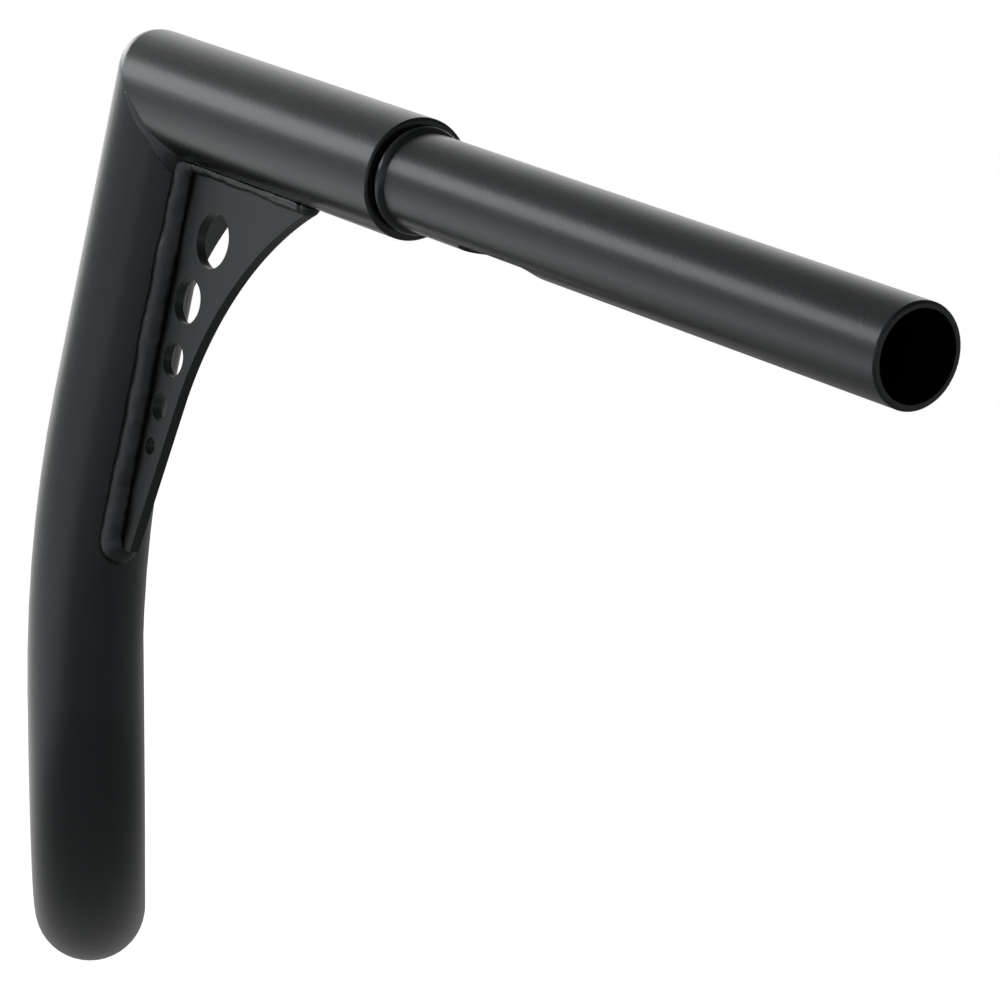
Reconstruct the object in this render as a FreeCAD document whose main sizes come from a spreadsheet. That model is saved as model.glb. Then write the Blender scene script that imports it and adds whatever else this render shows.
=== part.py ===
import FreeCAD, Part
import math
import os

import Sketcher

Vector = FreeCAD.Vector
doc = FreeCAD.newDocument("handlebar")

# A welded one-piece motorcycle handlebar: a bent main tube, two mitred top tubes, two smaller grip tubes
# and two drilled gussets. +X is the rider's right, +Y is forward and +Z is up.
# The origin is the middle of the straight section that the risers clamp.

# Driving sizes, in millimetres and degrees
SIZES = [
    ("main_od", 31.75, "outer diameter of the bent tube and of the top tubes"),
    ("main_wall", 3.05, "wall of the bent tube"),
    ("grip_od", 25.4, "outer diameter of the grip tubes"),
    ("grip_wall", 1.65, "wall of the grip tubes"),
    ("slip_clear", 0.125, "gap all round between a grip tube and the top tube that it sits in"),
    ("centre_half", 70, "straight clamping section, from the middle to the first bend"),
    ("lower_clr", 76.2, "centreline radius of the first bend"),
    ("lower_bend", 84.7, "turn of the first bend, up from the clamping section"),
    ("forward_tilt", 0.65, "forward tilt of the first bend's plane"),
    ("link_straight", 2.6, "straight run between the two bends"),
    ("upper_clr", 400, "centreline radius of the long pullback bend"),
    ("upper_bend", 11.7, "turn of the pullback bend, towards the rider"),
    ("upper_straight", 85.6, "straight run from the pullback bend to the mitred corner"),
    ("sweep", 33.1, "turn of the top tube about the upright, towards the rider"),
    ("corner_grind", 2.9, "how much grinding takes off the outer tip of the mitred corner"),
    ("corner_spare", 0.06, "how far the ground corner stays clear of the tubes' own surfaces"),
    ("top_length", 116.5, "mitred corner to the open end of the top tube"),
    ("top_edge", 0.8, "rounding of the top tube's outer rim"),
    ("grip_length", 194.6, "grip tube outside the top tube"),
    ("grip_insert", 40, "grip tube inside the top tube"),
    ("grip_edge", 0.7, "rounding of the grip tube's outer rim"),
    ("slot_from", 28, "open end of the top tube to the near end of the wiring slot"),
    ("slot_long", 34, "length of the wiring slot in a grip tube"),
    ("slot_wide", 10, "width of the wiring slot in a grip tube"),
    ("slot_forward", 19, "turn of the wiring slot, forward from straight down"),
    ("exit_long", 28, "length of the wiring exit under the clamping section"),
    ("exit_wide", 12, "width of the wiring exit under the clamping section"),
    ("gusset_thick", 3, "plate thickness of the gussets"),
    ("gusset_reach", 74.5, "upright axis to the gusset's outer tip"),
    ("gusset_drop", 122, "top tube axis to the gusset's lower tip"),
    ("gusset_land", 2, "height of the blunt outer tip below the top tube"),
    ("gusset_foot", 9.1, "width of the blunt lower tip beyond the straight tube"),
    ("gusset_curve", 95, "radius of the gusset's concave edge"),
    ("gusset_taper", 10.6, "slope of the gusset's straight lower edge against the upright"),
    ("gusset_snip", 4, "radius of the snipped inner corner of the gusset"),
    ("hole_first", 15, "diameter of the largest gusset hole"),
    ("hole_step", 2.6, "how much smaller each next hole is"),
    ("hole_drop", 33.6, "top tube axis to the centre of the largest hole"),
    ("hole_web", 5.2, "metal between one hole and the next"),
    ("hole1_out", 34.5, "upright axis to the first hole"),
    ("hole2_out", 28.4, "upright axis to the second hole"),
    ("hole3_out", 27.0, "upright axis to the third hole"),
    ("hole4_out", 25.3, "upright axis to the fourth hole"),
    ("hole5_out", 24.6, "upright axis to the fifth hole"),
    ("upright_bead", 4, "weld bead between the gusset and the upright"),
    ("top_bead", 2.4, "weld bead between the gusset and the top tube"),
    ("corner_bead", 5.6, "weld blob in the gusset's inner corner"),
    ("low_bead", 5.2, "weld blob round the gusset's lower tip"),
    ("end_bead", 3.2, "weld blob round the gusset's outer tip"),
    ("mitre_bead_wide", 4, "width of the weld left standing inside the mitre"),
    ("mitre_bead_high", 0.8, "height of the weld left standing inside the mitre"),
    ("collar_bead", 1.9, "bead radius of the ring weld at the top tube's open end"),
    ("collar_bead_out", 1.5, "centre of the ring weld's bead beyond the top tube's end"),
    ("collar_bead_sink", 0.6, "centre of the ring weld's bead below the grip tube's surface"),
]
HOLES = ("hole1_out", "hole2_out", "hole3_out", "hole4_out", "hole5_out")
SIDES = (("left", -1), ("right", 1))
SAME_PLACE = 0.01

sheet = doc.addObject("Spreadsheet::Sheet", "sizes")
for row, (alias, value, note) in enumerate(SIZES, start=1):
    sheet.set(f"A{row}", note)
    sheet.set(f"B{row}", str(value))
    sheet.setAlias(f"B{row}", alias)
doc.recompute()


def size(alias):
    """The number that the sheet holds under an alias."""
    return float(sheet.get(alias))


def bound(kind, name, **expressions):
    """A new object whose sizes are bound to cells of the sheet."""
    made = doc.addObject(kind, name)
    for prop, expression in expressions.items():
        made.setExpression(prop, expression)
    return made


def axes(origin, x_axis, y_axis):
    """A placement from an origin and two square axes."""
    return FreeCAD.Placement(origin, FreeCAD.Rotation(x_axis, y_axis, x_axis.cross(y_axis), "XYZ"))


def square_to(vector, axis):
    """The unit vector nearest to vector that is square to a unit axis."""
    flat = vector - axis * vector.dot(axis)
    return flat.normalize()


def rod(name, start, heading, radius, length):
    """A cylinder from start along heading."""
    made = bound("Part::Cylinder", name, Radius=radius, Height=length)
    made.Placement = FreeCAD.Placement(start, FreeCAD.Rotation(Vector(0, 0, 1), heading))
    return made


def rod_between(name, start, end, radius):
    """A cylinder whose two ends are given points."""
    made = bound("Part::Cylinder", name, Radius=radius)
    made.Height = (end - start).Length
    made.Placement = FreeCAD.Placement(start, FreeCAD.Rotation(Vector(0, 0, 1), end - start))
    return made


def ball(name, centre, radius):
    """A sphere about a point."""
    made = bound("Part::Sphere", name, Radius=radius)
    made.Placement.Base = centre
    return made


def fuse(name, pieces):
    """One solid from several."""
    made = doc.addObject("Part::MultiFuse", name)
    made.Shapes = pieces
    return made


def cut(name, base, tools):
    """Base without what the tools take away."""
    made = doc.addObject("Part::Cut", name)
    made.Base = base
    made.Tool = tools[0] if len(tools) == 1 else fuse(name + "_tools", tools)
    return made


def common(name, first, second):
    """What two solids share."""
    made = doc.addObject("Part::Common", name)
    made.Base = first
    made.Tool = second
    return made


def rounded(name, base, radius, wanted):
    """Base with the circular edges that wanted picks rounded off."""
    doc.recompute()
    made = doc.addObject("Part::Fillet", name)
    made.Base = base
    picked = [i for i, edge in enumerate(base.Shape.Edges, start=1) if wanted(edge)]
    made.Edges = [(i, radius, radius) for i in picked]
    return made


def is_circle(edge, centre, radius):
    """True for the full circle of that centre and radius."""
    if not isinstance(edge.Curve, Part.Circle):
        return False
    near = (edge.Curve.Center - centre).Length < SAME_PLACE
    return near and abs(edge.Curve.Radius - radius) < SAME_PLACE


class Line:
    """The centreline of one side, from the clamping section out to the grip's end."""

    def __init__(self, side):
        self.sideways = Vector(side, 0, 0)
        rearward = Vector(0, -1, 0)
        tilt = math.radians(size("forward_tilt"))
        self.lower_start = self.sideways * size("centre_half")
        self.lower_towards = Vector(0, math.sin(tilt), math.cos(tilt))
        self.link_start, self.link = self.turn(
            self.lower_start, self.sideways, self.lower_towards, "lower"
        )
        self.upper_start = self.link_start + self.link * size("link_straight")
        self.upper_towards = square_to(rearward, self.link)
        self.straight_start, self.up = self.turn(
            self.upper_start, self.link, self.upper_towards, "upper"
        )
        self.corner = self.straight_start + self.up * size("upper_straight")
        sweep = math.radians(size("sweep"))
        outward = square_to(self.sideways, self.up)
        back = outward.cross(self.up) * side
        self.out = outward * math.cos(sweep) + back * math.sin(sweep)
        self.mitre = (self.up + self.out).normalize()
        self.inside = (self.out - self.up).normalize()
        self.across = self.out.cross(self.up * -1)
        self.collar = self.corner + self.out * size("top_length")
        self.end = self.collar + self.out * size("grip_length")

    def turn(self, start, heading, towards, bend):
        """Where a bend ends and which way the tube then heads."""
        angle = math.radians(size(bend + "_bend"))
        centre = start + towards * size(bend + "_clr")
        spoke = heading * math.sin(angle) - towards * math.cos(angle)
        return centre + spoke * size(bend + "_clr"), heading * math.cos(angle) + towards * math.sin(angle)

    def on_plate(self, out, down, across):
        """A point in the gusset's own frame."""
        return self.corner + self.out * out - self.up * down + self.across * across


LINES = {name: Line(side) for name, side in SIDES}


def elbow(name, start, heading, towards, radius, bend):
    """A tube bend as part of a ring."""
    made = bound(
        "Part::Torus", name, Radius1=f"sizes.{bend}_clr", Radius2=radius, Angle3=f"sizes.{bend}_bend"
    )
    centre = start + towards * size(bend + "_clr")
    made.Placement = axes(centre, towards * -1, heading)
    return made


def bent_rod(tag, radius):
    """The whole bent centreline as one solid, with the uprights run on past their corners."""
    middle_start = Vector(-size("centre_half"), 0, 0)
    pieces = [rod(tag + "_middle", middle_start, Vector(1, 0, 0), radius, "2 * sizes.centre_half")]
    for name, line in LINES.items():
        label = f"{tag}_{name}"
        pieces += [
            elbow(label + "_low", line.lower_start, line.sideways, line.lower_towards, radius, "lower"),
            rod(label + "_link", line.link_start, line.link, radius, "sizes.link_straight"),
            elbow(label + "_pull", line.upper_start, line.link, line.upper_towards, radius, "upper"),
            rod(
                label + "_upright", line.straight_start, line.up, radius,
                "sizes.upper_straight + sizes.main_od"
            ),
        ]
    return fuse(tag, pieces)


def corner_block(name, line, facing):
    """A block with one face through the mitred corner, on the side that facing points to."""
    block = bound(
        "Part::Box", name, Length="4 * sizes.main_od", Width="4 * sizes.main_od", Height="4 * sizes.main_od"
    )
    half = 2 * size("main_od")
    along = facing.cross(line.across)
    y_axis = facing.cross(along)
    block.Placement = axes(line.corner - along * half - y_axis * half, along, y_axis)
    return block


def ground_edge(name, line):
    """What grinding takes off the mitre's outer edge, down to an ellipsoid that touches both tubes."""
    reach = size("main_od") / math.sqrt(2) - size("corner_grind")
    slope = size("main_od") ** 2 / (2 * reach ** 2) - 1
    sides = [
        corner_block(f"{name}_grind_{tag}", line, (line.mitre * way - line.inside * slope).normalize())
        for tag, way in (("upright", 1), ("top", -1))
    ]
    wedge = common(name + "_grind_wedge", *sides)
    tip = "(sizes.main_od / sqrt(2) - sizes.corner_grind)"
    core = bound(
        "Part::Ellipsoid", name + "_grind_core", Radius1="sizes.main_od / 2 + sizes.corner_spare",
        Radius2=f"{tip} + sizes.corner_spare",
        Radius3=f"sqrt(sizes.main_od ^ 2 / 2 - {tip} ^ 2) + sizes.corner_spare"
    )
    core.Placement = axes(line.corner, line.inside, line.mitre)
    return cut(name + "_grind", wedge, [core])


def obround(tag, centre, along, outward, length, width, depth):
    """A slot cutter: round-ended, along one axis, from the tube's axis out through one wall."""
    half_run = (size(length) - size(width)) / 2
    first = centre - along * half_run
    second = centre + along * half_run
    radius = f"sizes.{width} / 2"
    block = bound(
        "Part::Box", tag + "_run",
        Length=f"sizes.{length} - sizes.{width}", Width=f"sizes.{width}", Height=depth
    )
    y_axis = outward.cross(along)
    block.Placement = axes(first - y_axis * (size(width) / 2), along, y_axis)
    ends = [
        rod(tag + "_near", first, outward, radius, depth),
        rod(tag + "_far", second, outward, radius, depth),
    ]
    return fuse(tag, [block] + ends)


def bent_tube(outer, grinds):
    """The main tube, one bent length that is mitred and ground at both upper ends."""
    bore = bent_rod("bore", "sizes.main_od / 2 - sizes.main_wall")
    wiring_exit = obround(
        "wiring_exit", Vector(0, 0, 0), Vector(1, 0, 0), Vector(0, 0, -1),
        "exit_long", "exit_wide", "sizes.main_od"
    )
    trims = [corner_block(name + "_upright_trim", line, line.mitre) for name, line in LINES.items()]
    made = cut("main_tube", outer, [bore, wiring_exit] + trims + list(grinds.values()))
    made.Label = "main_bent_tube"
    return made


def top_rod(name, line, radius):
    """The top tube's outside as a solid rod, run back past the corner."""
    start = line.corner - line.out * size("main_od")
    return rod(name, start, line.out, radius, "sizes.top_length + sizes.main_od")


def top_tube(name, line, outer, grind):
    """A top tube: mitred and ground at the corner, with a rounded rim at its open end."""
    bore = rod(
        name + "_top_bore", line.corner - line.out * size("main_od"), line.out,
        "sizes.grip_od / 2 + sizes.slip_clear", "sizes.top_length + 2 * sizes.main_od"
    )
    trim = corner_block(name + "_top_trim", line, line.mitre * -1)
    plain = cut(name + "_top_plain", outer, [bore, trim, grind])
    rim = lambda edge: is_circle(edge, line.collar, size("main_od") / 2)
    made = rounded(name + "_top", plain, size("top_edge"), rim)
    made.Label = name + "_top_tube"
    return made


def grip_tube(name, line):
    """A grip tube with its wiring slot, seated inside the top tube."""
    start = line.collar - line.out * size("grip_insert")
    length = "sizes.grip_insert + sizes.grip_length"
    outer = rod(name + "_grip_outer", start, line.out, "sizes.grip_od / 2", length)
    bore = rod(name + "_grip_bore", start, line.out, "sizes.grip_od / 2 - sizes.grip_wall", length)
    forward = math.radians(size("slot_forward"))
    facing = square_to(Vector(0, math.sin(forward), -math.cos(forward)), line.out)
    slot_centre = line.collar + line.out * (size("slot_from") + size("slot_long") / 2)
    slot = obround(
        name + "_grip_slot", slot_centre, line.out, facing, "slot_long", "slot_wide", "sizes.grip_od"
    )
    plain = cut(name + "_grip_plain", outer, [bore, slot])
    rim = lambda edge: is_circle(edge, line.end, size("grip_od") / 2)
    made = rounded(name + "_grip", plain, size("grip_edge"), rim)
    made.Label = name + "_grip_tube"
    return made, outer


def gusset_blank(name, line):
    """The gusset plate before it is drilled and coped, drawn on the plane of upright and top tube."""
    body = doc.addObject("PartDesign::Body", name + "_gusset_blank")
    sketch = body.newObject("Sketcher::SketchObject", name + "_gusset_outline")
    flat = [plane for plane in body.Origin.OriginFeatures if plane.Role == "XY_Plane"][0]
    sketch.AttachmentSupport = [(flat, "")]
    sketch.MapMode = "FlatFace"
    reach = size("gusset_reach")
    drop = size("gusset_drop")
    radius = size("gusset_curve")
    tip_down = size("main_od") / 2 + size("gusset_land")
    foot_out = size("main_od") / 2 + size("gusset_foot")
    slope_angle = math.radians(90 + size("gusset_taper"))
    centre, touch = concave_edge(Vector(reach, tip_down, 0), Vector(foot_out, drop, 0), radius)
    first_angle = math.atan2(touch.y - centre.y, touch.x - centre.x)
    last_angle = math.atan2(tip_down - centre.y, reach - centre.x)
    circle = Part.Circle(centre, Vector(0, 0, 1), radius)
    arc = Part.ArcOfCircle(circle, first_angle, last_angle)
    corners = [Vector(0, 0, 0), Vector(reach, 0, 0), Vector(reach, tip_down, 0)]
    lower = [touch, Vector(foot_out, drop, 0), Vector(0, drop, 0), Vector(0, 0, 0)]
    sketch.addGeometry(Part.LineSegment(corners[0], corners[1]))
    sketch.addGeometry(Part.LineSegment(corners[1], corners[2]))
    sketch.addGeometry(arc)
    for start, end in zip(lower, lower[1:]):
        sketch.addGeometry(Part.LineSegment(start, end))
    top, tip, curve, slope, foot, back = range(6)
    joins = [(top, tip, 1), (tip, curve, 2), (slope, foot, 1), (foot, back, 1), (back, top, 1)]
    for first, second, end in joins:
        sketch.addConstraint(Sketcher.Constraint("Coincident", first, 2, second, end))
    sketch.addConstraint(Sketcher.Constraint("Tangent", curve, 1, slope, 1))
    sketch.addConstraint(Sketcher.Constraint("Coincident", top, 1, -1, 1))
    for kind, edge in (("Horizontal", top), ("Vertical", tip), ("Horizontal", foot), ("Vertical", back)):
        sketch.addConstraint(Sketcher.Constraint(kind, edge))
    dimensions = [
        ("reach", "sizes.gusset_reach", "DistanceX", top, 1, top, 2, reach),
        ("tip", "sizes.main_od / 2 + sizes.gusset_land", "DistanceY", tip, 1, tip, 2, tip_down),
        ("curve", "sizes.gusset_curve", "Radius", curve, radius),
        ("taper", "90 + sizes.gusset_taper", "Angle", slope, slope_angle),
        ("foot", "sizes.main_od / 2 + sizes.gusset_foot", "DistanceX", foot, 2, foot, 1, foot_out),
        ("drop", "sizes.gusset_drop", "DistanceY", back, 2, back, 1, drop),
    ]
    for label, expression, *dimension in dimensions:
        place = sketch.addConstraint(Sketcher.Constraint(*dimension))
        sketch.renameConstraint(place, label)
        sketch.setExpression("Constraints." + label, expression)
    pad = body.newObject("PartDesign::Pad", name + "_gusset_pad")
    pad.Profile = sketch
    pad.setExpression("Length", "sizes.gusset_thick")
    body.Placement = axes(line.on_plate(0, 0, -size("gusset_thick") / 2), line.out, line.up * -1)
    return body


def concave_edge(tip, foot, radius):
    """The arc through tip that runs into a straight edge up from foot: its centre and where they touch."""
    taper = math.radians(size("gusset_taper"))
    run = Vector(math.sin(taper), -math.cos(taper), 0)
    normal = Vector(math.cos(taper), math.sin(taper), 0)
    over = (tip - foot).dot(normal)
    along = (tip - foot).dot(run) - math.sqrt(over * (2 * radius - over))
    touch = foot + run * along
    return touch + normal * radius, touch


def hole_cutters(name, line):
    """The row of gusset holes, each smaller than the one above it."""
    drills = []
    radius = size("hole_first") / 2
    down = size("hole_drop")
    depth = size("gusset_thick")
    for index, alias in enumerate(HOLES):
        if index:
            smaller = radius - size("hole_step") / 2
            pitch = radius + smaller + size("hole_web")
            down += math.sqrt(pitch ** 2 - (size(alias) - size(HOLES[index - 1])) ** 2)
            radius = smaller
        drills.append(
            rod(
                f"{name}_drill{index + 1}", line.on_plate(size(alias), down, -depth), line.across,
                f"(sizes.hole_first - {index} * sizes.hole_step) / 2", "2 * sizes.gusset_thick"
            )
        )
    return drills


def foot_line(line, down, across):
    """Where a face of the gusset meets the upright, as a distance from the upright's straight axis."""
    below = max(0.0, down - size("upper_straight"))
    clr = size("upper_clr")
    spoke = line.upper_start + line.upper_towards * clr - line.straight_start
    shift = spoke.normalize() * (clr - math.sqrt(clr ** 2 - below ** 2))
    radius = size("main_od") / 2
    return shift.dot(line.out) + math.sqrt(radius ** 2 - (across - shift.dot(line.across)) ** 2)


def gusset(name, line, outer, top_outer):
    """A gusset plate, drilled, coped to both tubes and snipped clear of the mitre's weld."""
    blank = gusset_blank(name, line)
    depth = size("gusset_thick")
    inner = foot_line(line, 0, 0)
    snip = rod(
        name + "_gusset_snip", line.on_plate(inner, inner, -depth), line.across,
        "sizes.gusset_snip", "2 * sizes.gusset_thick"
    )
    made = cut(name + "_gusset_cut", blank, hole_cutters(name, line) + [outer, top_outer, snip])
    made.Label = name + "_gusset"
    return made


def mitre_weld(name, line, outer, top_outer):
    """The raised weld that is left standing round the inside of the mitre."""
    grown = "sizes.main_od / 2 + sizes.mitre_bead_high"
    upright = rod(
        name + "_mitre_upright", line.straight_start, line.up, grown, "sizes.upper_straight + sizes.main_od"
    )
    shell = fuse(name + "_mitre_shell", [upright, top_rod(name + "_mitre_top", line, grown)])
    slab = bound(
        "Part::Box", name + "_mitre_slab",
        Length="2 * sizes.main_od", Width="2 * sizes.main_od", Height="sizes.mitre_bead_wide"
    )
    base = line.corner - line.mitre * (size("mitre_bead_wide") / 2)
    y_axis = line.mitre.cross(line.inside)
    slab.Placement = axes(base - y_axis * size("main_od"), line.inside, y_axis)
    band = common(name + "_mitre_band", slab, shell)
    made = cut(name + "_mitre_cut", band, [outer, top_outer])
    made.Label = name + "_mitre_weld"
    return made


def gusset_weld(name, line, plate, mitre, outer, top_outer):
    """The fillet weld that runs round the gusset, on both faces and round both tips."""
    half = size("gusset_thick") / 2
    drop = size("gusset_drop")
    reach = size("gusset_reach") - size("end_bead") / 2
    inner = foot_line(line, 0, half)
    beads = [
        ball(name + "_weld_corner", line.on_plate(inner, inner, 0), "sizes.corner_bead"),
        ball(name + "_weld_low", line.on_plate(foot_line(line, drop, 0), drop, 0), "sizes.low_bead"),
        ball(name + "_weld_end", line.on_plate(reach, inner, 0), "sizes.end_bead"),
    ]
    for face, across in (("front", half), ("rear", -half)):
        corner = line.on_plate(inner, inner, across)
        low = line.on_plate(foot_line(line, drop, across), drop, across)
        end = line.on_plate(reach, inner, across)
        beads += [
            rod_between(f"{name}_weld_{face}_upright", corner, low, "sizes.upright_bead"),
            rod_between(f"{name}_weld_{face}_top", corner, end, "sizes.top_bead"),
        ]
    run = fuse(name + "_weld_run", beads)
    made = cut(name + "_weld_cut", run, [outer, top_outer, plate, mitre])
    made.Label = name + "_gusset_weld"
    return made


def collar_weld(name, line, top_outer, grip_outer):
    """The ring weld between the top tube's open end and the grip tube."""
    ring = bound(
        "Part::Torus", name + "_collar_ring",
        Radius1="sizes.grip_od / 2 - sizes.collar_bead_sink", Radius2="sizes.collar_bead"
    )
    centre = line.collar + line.out * size("collar_bead_out")
    ring.Placement = FreeCAD.Placement(centre, FreeCAD.Rotation(Vector(0, 0, 1), line.out))
    made = cut(name + "_collar_cut", ring, [top_outer, grip_outer])
    made.Label = name + "_collar_weld"
    return made


def build():
    """Every sub-part, in the order in which the bar is put together."""
    outer = bent_rod("outer", "sizes.main_od / 2")
    grinds = {name: ground_edge(name, line) for name, line in LINES.items()}
    subparts = [bent_tube(outer, grinds)]
    for name, line in LINES.items():
        top_outer = top_rod(name + "_top_outer", line, "sizes.main_od / 2")
        grip, grip_outer = grip_tube(name, line)
        mitre = mitre_weld(name, line, outer, top_outer)
        plate = gusset(name, line, outer, top_outer)
        subparts += [
            top_tube(name, line, top_outer, grinds[name]),
            grip,
            mitre,
            plate,
            gusset_weld(name, line, plate, mitre, outer, top_outer),
            collar_weld(name, line, top_outer, grip_outer),
        ]
    doc.recompute()
    return subparts


def check(subparts):
    """Stops before anything is written if an object failed or a sub-part isn't one sound solid."""
    for made in doc.Objects:
        if "Invalid" in made.State or "Error" in made.State:
            raise RuntimeError(f"{made.Name} failed: {made.State}")
    for made in subparts:
        if made.Shape.isNull() or not made.Shape.isValid():
            raise RuntimeError(f"{made.Label} has no sound shape")
        if len(made.Shape.Solids) != 1:
            raise RuntimeError(f"{made.Label} has {len(made.Shape.Solids)} solids")


def write(subparts):
    """One STEP file for each sub-part."""
    os.makedirs("parts", exist_ok=True)
    for made in subparts:
        made.Shape.exportStep(f"parts/{made.Label}.step")


SUBPARTS = build()
check(SUBPARTS)
write(SUBPARTS)
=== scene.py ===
import math

import bmesh
import bpy
from mathutils import Matrix, Vector


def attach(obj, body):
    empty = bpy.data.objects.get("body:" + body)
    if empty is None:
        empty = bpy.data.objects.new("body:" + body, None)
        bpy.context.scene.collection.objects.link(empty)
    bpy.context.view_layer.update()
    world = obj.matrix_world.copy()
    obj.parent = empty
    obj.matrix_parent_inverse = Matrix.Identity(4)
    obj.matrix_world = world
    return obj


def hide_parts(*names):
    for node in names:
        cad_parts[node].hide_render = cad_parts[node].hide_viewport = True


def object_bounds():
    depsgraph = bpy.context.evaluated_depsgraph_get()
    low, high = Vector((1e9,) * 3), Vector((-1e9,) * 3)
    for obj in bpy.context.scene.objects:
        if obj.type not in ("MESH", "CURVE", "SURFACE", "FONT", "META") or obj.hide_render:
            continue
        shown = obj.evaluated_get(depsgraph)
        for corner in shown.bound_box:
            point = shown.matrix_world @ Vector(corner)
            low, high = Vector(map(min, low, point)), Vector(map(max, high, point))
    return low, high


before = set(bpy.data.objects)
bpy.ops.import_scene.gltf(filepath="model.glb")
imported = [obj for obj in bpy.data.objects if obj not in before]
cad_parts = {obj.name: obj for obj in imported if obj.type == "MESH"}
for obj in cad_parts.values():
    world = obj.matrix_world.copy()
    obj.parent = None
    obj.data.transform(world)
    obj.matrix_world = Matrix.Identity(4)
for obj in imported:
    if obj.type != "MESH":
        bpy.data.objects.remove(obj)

cad_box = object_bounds()

# A welded motorcycle handlebar in satin black powder coat, seen from its left side.
# Metres, in the part's own frame: +X is the rider's right, +Y is forward and +Z is up.

MM = 0.001
UP = Vector((0.0, 0.0, 1.0))
FORWARD = Vector((0.0, 1.0, 0.0))
WHITE = (1.0, 1.0, 1.0, 1.0)

# Each half of the bar, and the factor on X that makes it from the left one
SIDES = {"left": 1.0, "right": -1.0}

# The photograph's view
CAMERA_PLACE = Vector((-1.4726, -0.0152, 0.2390))
CAMERA_TOWARDS = Vector((0.99362, -0.07363, -0.08548))
CAMERA_ROLL = math.radians(0.47)
CAMERA_SENSOR = 36.0
CAMERA_LENS = 173.76

# The floor: its lift to white near the bar and far off, its lift in reflections,
# and the sides on which reflections show it lit: towards, from, to, share
FLOOR_DROP = 0.15
FLOOR_HALF = 30.0
FLOOR_COLOUR = (0.7, 0.7, 0.7, 1.0)
FLOOR_ROUGHNESS = 0.9
FLOOR_NEAR = 0.5
FLOOR_NEAR_LIFT = 0.73
FLOOR_FAR = 2.0
FLOOR_FAR_LIFT = 0.8
FLOOR_LIFT = 0.85
FLOOR_LIT = (
    (Vector((0.25, 0.97, 0.0)), 0.1, 0.9, 1.0),
    (Vector((-1.0, 0.0, 0.0)), 1.05, 1.45, 0.5),
    (Vector((0.0, -1.0, 0.0)), 0.5, 1.2, 0.22),
)

# The studio's walls, dimmer behind the rider and overhead, and the backdrop's glow beyond the bar
WALLS_DARK = 0.18
WALLS_DARK_AT = -0.4
WALLS_BRIGHT = 0.74
WALLS_BRIGHT_AT = 0.9
OVERHEAD = 0.62
OVERHEAD_FROM = 0.3
OVERHEAD_TO = 0.75
BACKDROP_SIDE = Vector((0.99, 0.12, 0.0))
BACKDROP_GLOW = 1.0
BACKDROP_FROM = 0.6
BACKDROP_TO = 0.88
AMBIENT = 0.24

# The softbox ahead of the bar and above it
SOFTBOX_TARGET = Vector((-0.22, -0.06, 0.2))
SOFTBOX_SIDE = Vector((0.33, 0.82, 0.45))
SOFTBOX_DISTANCE = 2.0
SOFTBOX_WIDE = 4.4
SOFTBOX_HIGH = 0.62
SOFTBOX_RADIANCE = 2.55

# The powder coat
COAT_DARK = (0.0034, 0.0036, 0.0038, 1.0)
COAT_PALE = (0.0046, 0.0049, 0.0052, 1.0)
COAT_TINT = (0.86, 0.95, 1.0, 1.0)
COAT_IOR = 1.5
TONE_GRAIN = 45.0
TONE_DETAIL = 3.0
GLOSS_GRAIN = 70.0
GLOSS_DETAIL = 4.0
GLOSS_SPREAD = 0.03
PEEL_DETAIL = 2.0
PEEL_STRENGTH = 0.25

# Weld beads and plate edges
BEAD_GRID = 0.4 * MM
BEAD_LUMP = 9.0 * MM
BEAD_DETAIL = 2
BEAD_LEVEL = 0.4
BEAD_SWELL = 1.3 * MM
BEAD_SMOOTHING = 8
EDGE_JOIN = 0.005 * MM
EDGE_BREAK = 0.6 * MM
EDGE_ROUNDS = 3
EDGE_ANGLE = math.radians(50)
FLAT_ANGLE = math.radians(1)

# The left mitred corner, the headings of its tubes, and the weld round its inside
CORNER = Vector((-0.16138, -0.02299, 0.23626))
UPRIGHT_HEADING = Vector((-0.09066, -0.19171, 0.97725))
TOP_HEADING = Vector((-0.83427, -0.52127, -0.17966))
TUBE_RADIUS = 15.875 * MM
MITRE_TOE = 2.0 * MM
MITRE_RISE = 0.5 * MM
MITRE_SINK = 0.1 * MM
MITRE_ROOT = 0.8 * MM
MITRE_FULL = math.radians(52)
MITRE_END = math.radians(88)
MITRE_STEPS = 120
MITRE_ACROSS = 12
CROTCH_TOE = 4.8 * MM
CROTCH_RISE = 1.1 * MM
CROTCH_TURN = math.radians(20)

# How the mitre's weld wanders: share, waves and lag of each wave, and where each course starts
WANDER_WAVES = ((0.6, 9.0, 1.0), (0.4, 17.0, 2.0))
TOE_WANDER = 0.16 * MM
RISE_WANDER = 0.15
UPRIGHT_START = 0.5
TOP_START = 1.3
RISE_START = 2.4


def principled(name):
    """A new material with its shader node."""
    made = bpy.data.materials.new(name)
    made.use_nodes = True
    return made, made.node_tree, made.node_tree.nodes["Principled BSDF"]


def link(tree, source, target):
    """Joins an output socket to an input socket."""
    tree.links.new(source, target)


def noise(tree, scale, detail, vector):
    """Noise over the object's own coordinates, as its factor output."""
    made = tree.nodes.new("ShaderNodeTexNoise")
    made.inputs["Scale"].default_value = scale
    made.inputs["Detail"].default_value = detail
    link(tree, vector, made.inputs["Vector"])
    return made.outputs["Fac"]


def spread(tree, factor, low, high):
    """A factor mapped on to a range."""
    made = tree.nodes.new("ShaderNodeMapRange")
    made.inputs["To Min"].default_value = low
    made.inputs["To Max"].default_value = high
    link(tree, factor, made.inputs["Value"])
    return made.outputs["Result"]


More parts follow.
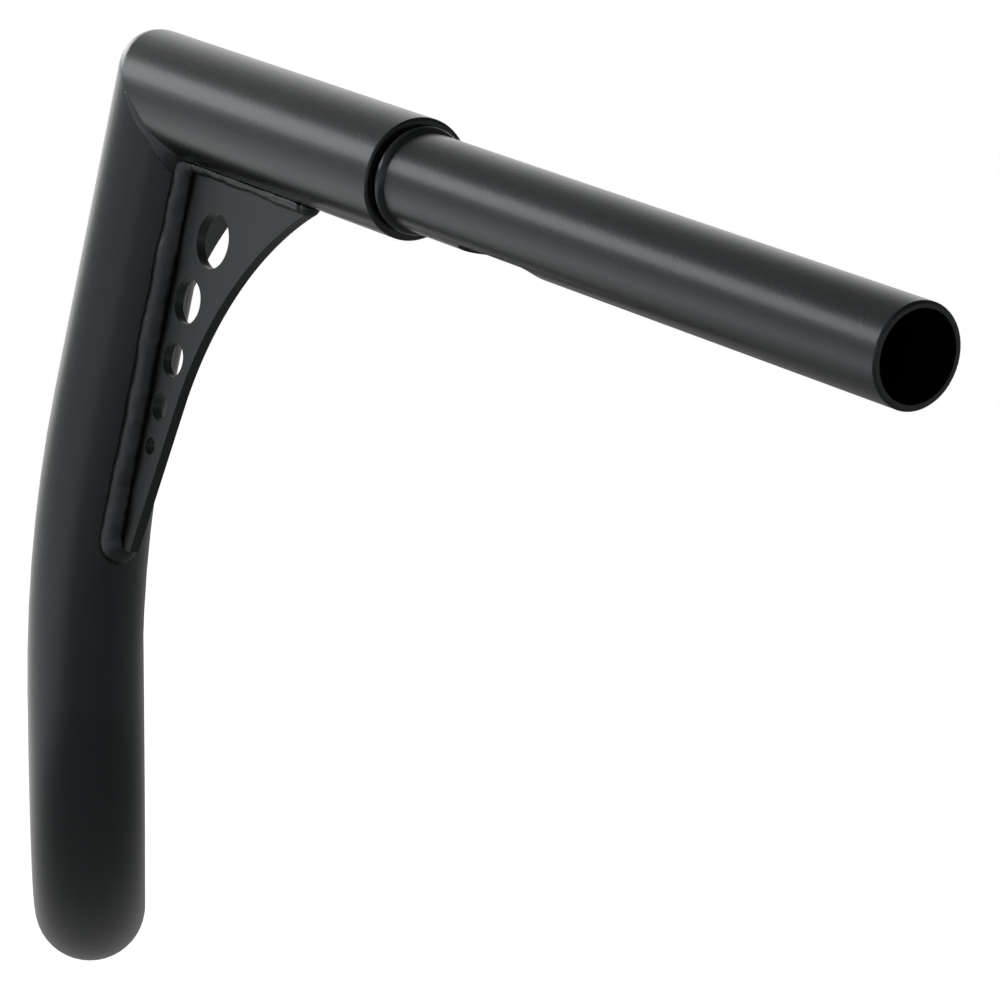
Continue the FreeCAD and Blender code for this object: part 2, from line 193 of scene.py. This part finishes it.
def ease(tree, value, start, end, low, high):
    """A value mapped smoothly from one range on to another."""
    made = tree.nodes.new("ShaderNodeMapRange")
    made.interpolation_type = "SMOOTHSTEP"
    made.inputs["From Min"].default_value = start
    made.inputs["From Max"].default_value = end
    made.inputs["To Min"].default_value = low
    made.inputs["To Max"].default_value = high
    link(tree, value, made.inputs["Value"])
    return made.outputs["Result"]


def maths(tree, operation, *terms):
    """A calculation on sockets and numbers."""
    made = tree.nodes.new("ShaderNodeMath")
    made.operation = operation
    for term, socket in zip(terms, made.inputs):
        if isinstance(term, float):
            socket.default_value = term
        else:
            link(tree, term, socket)
    return made.outputs["Value"]


def along(tree, vector, axis):
    """How far a vector reaches along an axis."""
    made = tree.nodes.new("ShaderNodeVectorMath")
    made.operation = "DOT_PRODUCT"
    made.inputs[1].default_value = axis
    link(tree, vector, made.inputs[0])
    return made.outputs["Value"]


def mirrored(tree, rays):
    """1 for the rays of a reflection or of a view through glass."""
    return maths(tree, "MAXIMUM", rays["Is Glossy Ray"], rays["Is Transmission Ray"])


def powder_coat(name, roughness, peel_grain, peel_depth):
    """Satin black powder coat: a fine orange peel, with slight changes of tone and gloss."""
    made, tree, shader = principled(name)
    place = tree.nodes.new("ShaderNodeTexCoord").outputs["Object"]
    tone = tree.nodes.new("ShaderNodeMix")
    tone.data_type = "RGBA"
    tone.inputs["A"].default_value = COAT_DARK
    tone.inputs["B"].default_value = COAT_PALE
    link(tree, noise(tree, TONE_GRAIN, TONE_DETAIL, place), tone.inputs["Factor"])
    link(tree, tone.outputs["Result"], shader.inputs["Base Color"])
    gloss = noise(tree, GLOSS_GRAIN, GLOSS_DETAIL, place)
    gloss = spread(tree, gloss, roughness - GLOSS_SPREAD, roughness + GLOSS_SPREAD)
    link(tree, gloss, shader.inputs["Roughness"])
    shader.inputs["IOR"].default_value = COAT_IOR
    shader.inputs["Specular Tint"].default_value = COAT_TINT
    peel = tree.nodes.new("ShaderNodeBump")
    peel.inputs["Strength"].default_value = PEEL_STRENGTH
    peel.inputs["Distance"].default_value = peel_depth
    link(tree, noise(tree, peel_grain, PEEL_DETAIL, place), peel.inputs["Height"])
    link(tree, peel.outputs["Normal"], shader.inputs["Normal"])
    return made


def dress(node, material):
    """Gives a CAD node its material."""
    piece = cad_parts[node]
    piece.data.materials.clear()
    piece.data.materials.append(material)
    return piece


def uneven_bead(piece):
    """Gives a weld the soft lumps and wandering toes of a bead laid by hand."""
    grid = piece.modifiers.new("grid", "REMESH")
    grid.mode = "VOXEL"
    grid.voxel_size = BEAD_GRID
    grid.use_smooth_shade = True
    lumps = bpy.data.textures.new("bead_lumps", "CLOUDS")
    lumps.noise_scale = BEAD_LUMP
    lumps.noise_depth = BEAD_DETAIL
    swell = piece.modifiers.new("swell", "DISPLACE")
    swell.texture = lumps
    swell.texture_coords = "LOCAL"
    swell.mid_level = BEAD_LEVEL
    swell.strength = BEAD_SWELL
    soft = piece.modifiers.new("soft", "SMOOTH")
    soft.iterations = BEAD_SMOOTHING


def broken_edges(piece):
    """Takes the sharp edges off a plate."""
    join = piece.modifiers.new("join", "WELD")
    join.merge_threshold = EDGE_JOIN
    flat = piece.modifiers.new("flat", "DECIMATE")
    flat.decimate_type = "DISSOLVE"
    flat.angle_limit = FLAT_ANGLE
    edges = piece.modifiers.new("edges", "BEVEL")
    edges.width = EDGE_BREAK
    edges.segments = EDGE_ROUNDS
    edges.angle_limit = EDGE_ANGLE
    shade = piece.modifiers.new("shade", "WEIGHTED_NORMAL")
    shade.keep_sharp = False


def smooth_step(value, start, end):
    """0 at start and 1 at end, with an even passage between them."""
    share = min(1.0, max(0.0, (value - start) / (end - start)))
    return share * share * (3.0 - 2.0 * share)


def wander(turn, start):
    """The uneven course of a weld, from -1 to 1."""
    return sum(share * math.sin(waves * turn + lag * start) for share, waves, lag in WANDER_WAVES)


def mitre_section(turn):
    """The left weld's section at a turn about the mitre, from the upright's toe round to the root."""
    across = UPRIGHT_HEADING.cross(TOP_HEADING)
    inward = math.cos(turn) * TUBE_RADIUS
    aside = across * math.sin(turn)
    off_upright = TOP_HEADING * math.cos(turn) + aside
    off_top = aside - UPRIGHT_HEADING * math.cos(turn)
    seam = CORNER + off_upright * TUBE_RADIUS - UPRIGHT_HEADING * inward
    outward = (off_upright + off_top).normalized()
    crotch = smooth_step(abs(turn), MITRE_FULL, CROTCH_TURN)
    toe = MITRE_TOE + (CROTCH_TOE - MITRE_TOE) * crotch
    crest = MITRE_RISE + (CROTCH_RISE - MITRE_RISE) * crotch
    uneven = 1.0 - RISE_WANDER + RISE_WANDER * wander(turn, RISE_START)
    rise = crest * uneven * smooth_step(abs(turn), MITRE_END, MITRE_FULL)
    upright_toe = toe + TOE_WANDER * wander(turn, UPRIGHT_START)
    top_toe = toe + TOE_WANDER * wander(turn, TOP_START)
    start = seam - UPRIGHT_HEADING * upright_toe - off_upright * MITRE_SINK
    end = seam + TOP_HEADING * top_toe - off_top * MITRE_SINK
    crown = seam + outward * 2.0 * rise
    shares = [step / MITRE_ACROSS for step in range(MITRE_ACROSS + 1)]
    skin = [start * (1 - s) ** 2 + crown * 2 * s * (1 - s) + end * s ** 2 for s in shares]
    return skin + [seam - outward * MITRE_ROOT]


def mitre_bead(name, mirror, material):
    """The soft weld round the inside of a mitre, which runs out where the tubes' surfaces are level."""
    turns = [MITRE_END * (2.0 * step / MITRE_STEPS - 1.0) for step in range(MITRE_STEPS + 1)]
    bead = bmesh.new()
    rings = []
    for turn in turns:
        points = [Vector((p.x * mirror, p.y, p.z)) for p in mitre_section(turn)]
        rings.append([bead.verts.new(p) for p in points])
    for near, far in zip(rings, rings[1:]):
        for i, corner in enumerate(near):
            bead.faces.new((near[i - 1], corner, far[i], far[i - 1]))
    bead.faces.new(rings[0])
    bead.faces.new(rings[-1])
    bmesh.ops.recalc_face_normals(bead, faces=bead.faces)
    for face in bead.faces:
        face.smooth = True
    mesh = bpy.data.meshes.new(f"{name}_mitre_bead")
    bead.to_mesh(mesh)
    bead.free()
    made = bpy.data.objects.new(mesh.name, mesh)
    bpy.context.scene.collection.objects.link(made)
    mesh.materials.append(material)
    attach(made, "root")
    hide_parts(f"{name}_mitre_weld")


def make_camera():
    """The photograph's camera."""
    lens = bpy.data.cameras.new("camera")
    lens.sensor_width = CAMERA_SENSOR
    lens.sensor_fit = "HORIZONTAL"
    lens.lens = CAMERA_LENS
    made = bpy.data.objects.new("camera", lens)
    bpy.context.scene.collection.objects.link(made)
    back = -CAMERA_TOWARDS.normalized()
    right = UP.cross(back).normalized()
    turn = Matrix((right, back.cross(right), back)).transposed().to_4x4()
    made.matrix_world = Matrix.Translation(CAMERA_PLACE) @ turn @ Matrix.Rotation(CAMERA_ROLL, 4, "Z")
    bpy.context.scene.camera = made


def make_floor():
    """A pale floor for the bar's shadow: white to the eye, and lit on some sides in reflections."""
    low, _ = cad_box
    mesh = bpy.data.meshes.new("floor")
    signs = [(-1, -1), (1, -1), (1, 1), (-1, 1)]
    corners = [(x * FLOOR_HALF, y * FLOOR_HALF, low[2] - FLOOR_DROP) for x, y in signs]
    mesh.from_pydata(corners, [], [(0, 1, 2, 3)])
    floor = bpy.data.objects.new("floor", mesh)
    bpy.context.scene.collection.objects.link(floor)
    made, tree, shader = principled("pale_floor")
    shader.inputs["Base Color"].default_value = FLOOR_COLOUR
    shader.inputs["Roughness"].default_value = FLOOR_ROUGHNESS
    shader.inputs["Emission Color"].default_value = WHITE
    rays = tree.nodes.new("ShaderNodeLightPath").outputs
    place = tree.nodes.new("ShaderNodeNewGeometry").outputs["Position"]
    distance = tree.nodes.new("ShaderNodeVectorMath")
    distance.operation = "LENGTH"
    link(tree, place, distance.inputs[0])
    white = ease(tree, distance.outputs["Value"], FLOOR_NEAR, FLOOR_FAR, FLOOR_NEAR_LIFT, FLOOR_FAR_LIFT)
    seen = maths(tree, "MULTIPLY", rays["Is Camera Ray"], white)
    lit = 0.0
    for side, start, full, share in FLOOR_LIT:
        level = ease(tree, along(tree, place, side), start, full, 0.0, share)
        lit = maths(tree, "MAXIMUM", lit, level)
    lit = maths(tree, "MULTIPLY", lit, FLOOR_LIFT)
    reflected = maths(tree, "MULTIPLY", mirrored(tree, rays), lit)
    link(tree, maths(tree, "MAXIMUM", seen, reflected), shader.inputs["Emission Strength"])
    mesh.materials.append(made)


def make_world():
    """A white background, and a studio bright ahead of the bar and beyond it, and dim behind the rider."""
    world = bpy.data.worlds.new("studio")
    bpy.context.scene.world = world
    world.use_nodes = True
    tree = world.node_tree
    shade = tree.nodes["Background"]
    rays = tree.nodes.new("ShaderNodeLightPath").outputs
    heading = tree.nodes.new("ShaderNodeTexCoord").outputs["Generated"]
    forward = along(tree, heading, FORWARD)
    walls = ease(tree, forward, WALLS_DARK_AT, WALLS_BRIGHT_AT, WALLS_DARK, WALLS_BRIGHT)
    above = ease(tree, along(tree, heading, UP), OVERHEAD_FROM, OVERHEAD_TO, 1.0, OVERHEAD)
    shaded = maths(tree, "MULTIPLY", walls, above)
    beyond = along(tree, heading, BACKDROP_SIDE)
    glow = ease(tree, beyond, BACKDROP_FROM, BACKDROP_TO, 0.0, BACKDROP_GLOW)
    soft = tree.nodes.new("ShaderNodeMix")
    soft.inputs["A"].default_value = AMBIENT
    link(tree, maths(tree, "ADD", shaded, glow), soft.inputs["B"])
    link(tree, mirrored(tree, rays), soft.inputs["Factor"])
    seen = tree.nodes.new("ShaderNodeMix")
    seen.inputs["B"].default_value = 1.0
    link(tree, soft.outputs["Result"], seen.inputs["A"])
    link(tree, rays["Is Camera Ray"], seen.inputs["Factor"])
    shade.inputs["Color"].default_value = WHITE
    link(tree, seen.outputs["Result"], shade.inputs["Strength"])


def make_softbox():
    """A long flat soft light that faces the bar."""
    lamp = bpy.data.lights.new("side_softbox", "AREA")
    lamp.shape = "RECTANGLE"
    lamp.size = SOFTBOX_WIDE
    lamp.size_y = SOFTBOX_HIGH
    lamp.energy = SOFTBOX_RADIANCE * math.pi * SOFTBOX_WIDE * SOFTBOX_HIGH
    made = bpy.data.objects.new("side_softbox", lamp)
    bpy.context.scene.collection.objects.link(made)
    direction = SOFTBOX_SIDE.normalized()
    made.location = SOFTBOX_TARGET + direction * SOFTBOX_DISTANCE
    made.rotation_euler = direction.to_track_quat("Z", "Y").to_euler()


def finish_bar():
    """Coats every piece of the bar, and gives its welds and plates their hand-made form."""
    tube_coat = powder_coat("satin_black_coat", roughness=0.27, peel_grain=900.0, peel_depth=0.12 * MM)
    plate_coat = powder_coat("coat_over_plate", roughness=0.34, peel_grain=900.0, peel_depth=0.12 * MM)
    weld_coat = powder_coat("coat_over_weld", roughness=0.36, peel_grain=700.0, peel_depth=0.2 * MM)
    ring_coat = powder_coat("coat_over_ring_weld", roughness=0.15, peel_grain=700.0, peel_depth=0.1 * MM)
    dress("main_bent_tube", tube_coat)
    for name, mirror in SIDES.items():
        for tube in ("top_tube", "grip_tube"):
            dress(f"{name}_{tube}", tube_coat)
        broken_edges(dress(f"{name}_gusset", plate_coat))
        uneven_bead(dress(f"{name}_gusset_weld", weld_coat))
        dress(f"{name}_mitre_weld", weld_coat)
        mitre_bead(name, mirror, weld_coat)
        dress(f"{name}_collar_weld", ring_coat)


bpy.context.scene.view_settings.view_transform = "Standard"
make_camera()
make_floor()
make_world()
make_softbox()
finish_bar()
